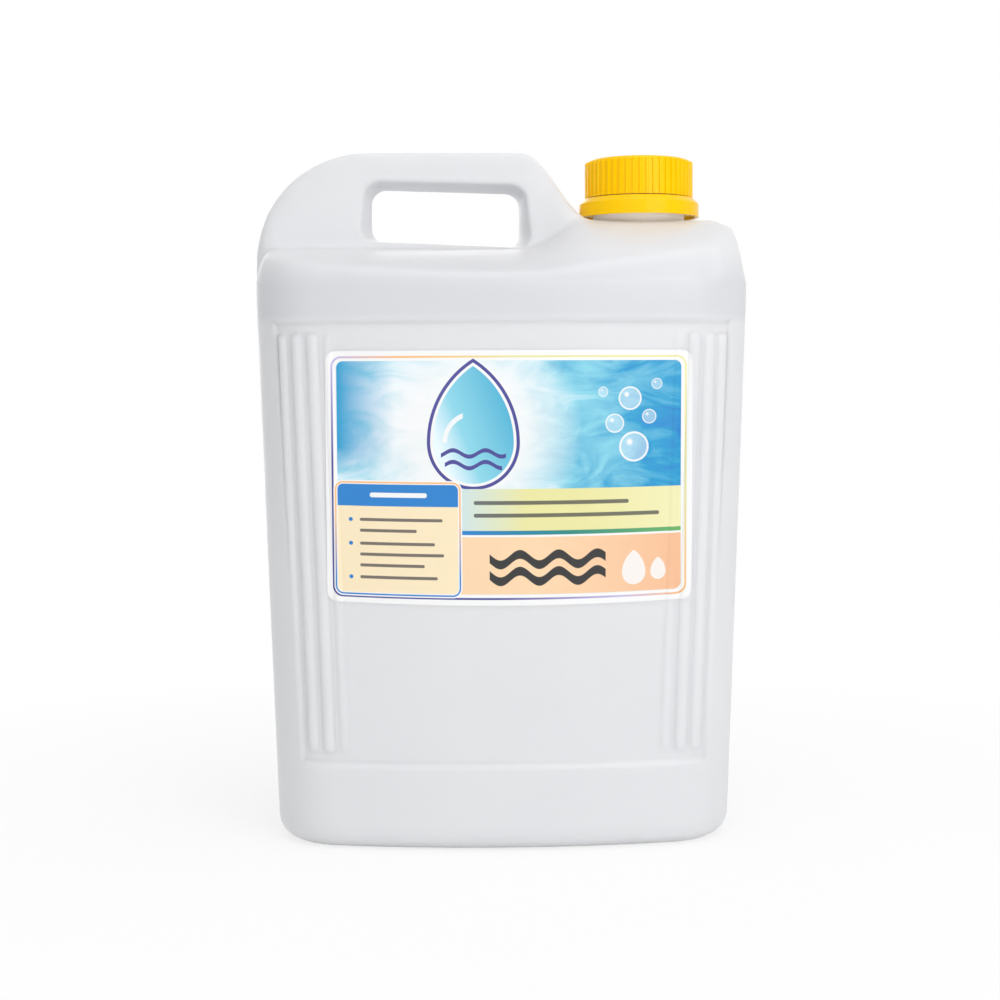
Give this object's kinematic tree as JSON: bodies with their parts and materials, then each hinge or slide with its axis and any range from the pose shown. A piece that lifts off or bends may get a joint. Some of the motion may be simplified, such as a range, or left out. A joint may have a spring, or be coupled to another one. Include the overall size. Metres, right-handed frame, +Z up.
{
  "type": "bleach bottle",
  "caption": "Rectangular blown plastic jerrycan with a moulded-through handle, ribbed corners, a knurled screw cap, a tamper ring and a front label, filled with liquid.",
  "frame": {"origin": "centre of the foot, on the surface that the bottle stands on", "axes": "+Z up through the handle, +X towards the neck, -Y out of the labelled front"},
  "size_m": [0.199, 0.138, 0.2775],
  "materials": {
    "natural_plastic": "satin, slightly translucent",
    "liquid": "clear liquid",
    "label_film": "printed film, satin",
    "yellow_plastic": "semi-gloss",
    "yellow_ring_plastic": "semi-gloss",
    "liner_foam": "matt foam"
  },
  "bodies": {
    "bottle_body": {"bottle": "natural_plastic", "bleach_liquid": "liquid", "front_label": "label_film", "tamper_ring": "yellow_ring_plastic"},
    "liner_body": {"cap_liner": "liner_foam"},
    "cap_body": {"cap": "yellow_plastic"}
  },
  "joints": [
    {"name": "cap_lift", "type": "slide", "parent": "bottle_body", "child": "liner_body", "axis": [0, 0, 1], "range_m": [0, 0.0202]},
    {"name": "cap_turn", "type": "hinge", "parent": "liner_body", "child": "cap_body", "pos_m": [0.058, 0, 0.267], "axis": [0, 0, 1], "range_deg": [0, 1440]}
  ],
  "couplings": [
    {"joint": "cap_lift", "follows": "cap_turn", "m_per_rad": 0.00079577}
  ]
}
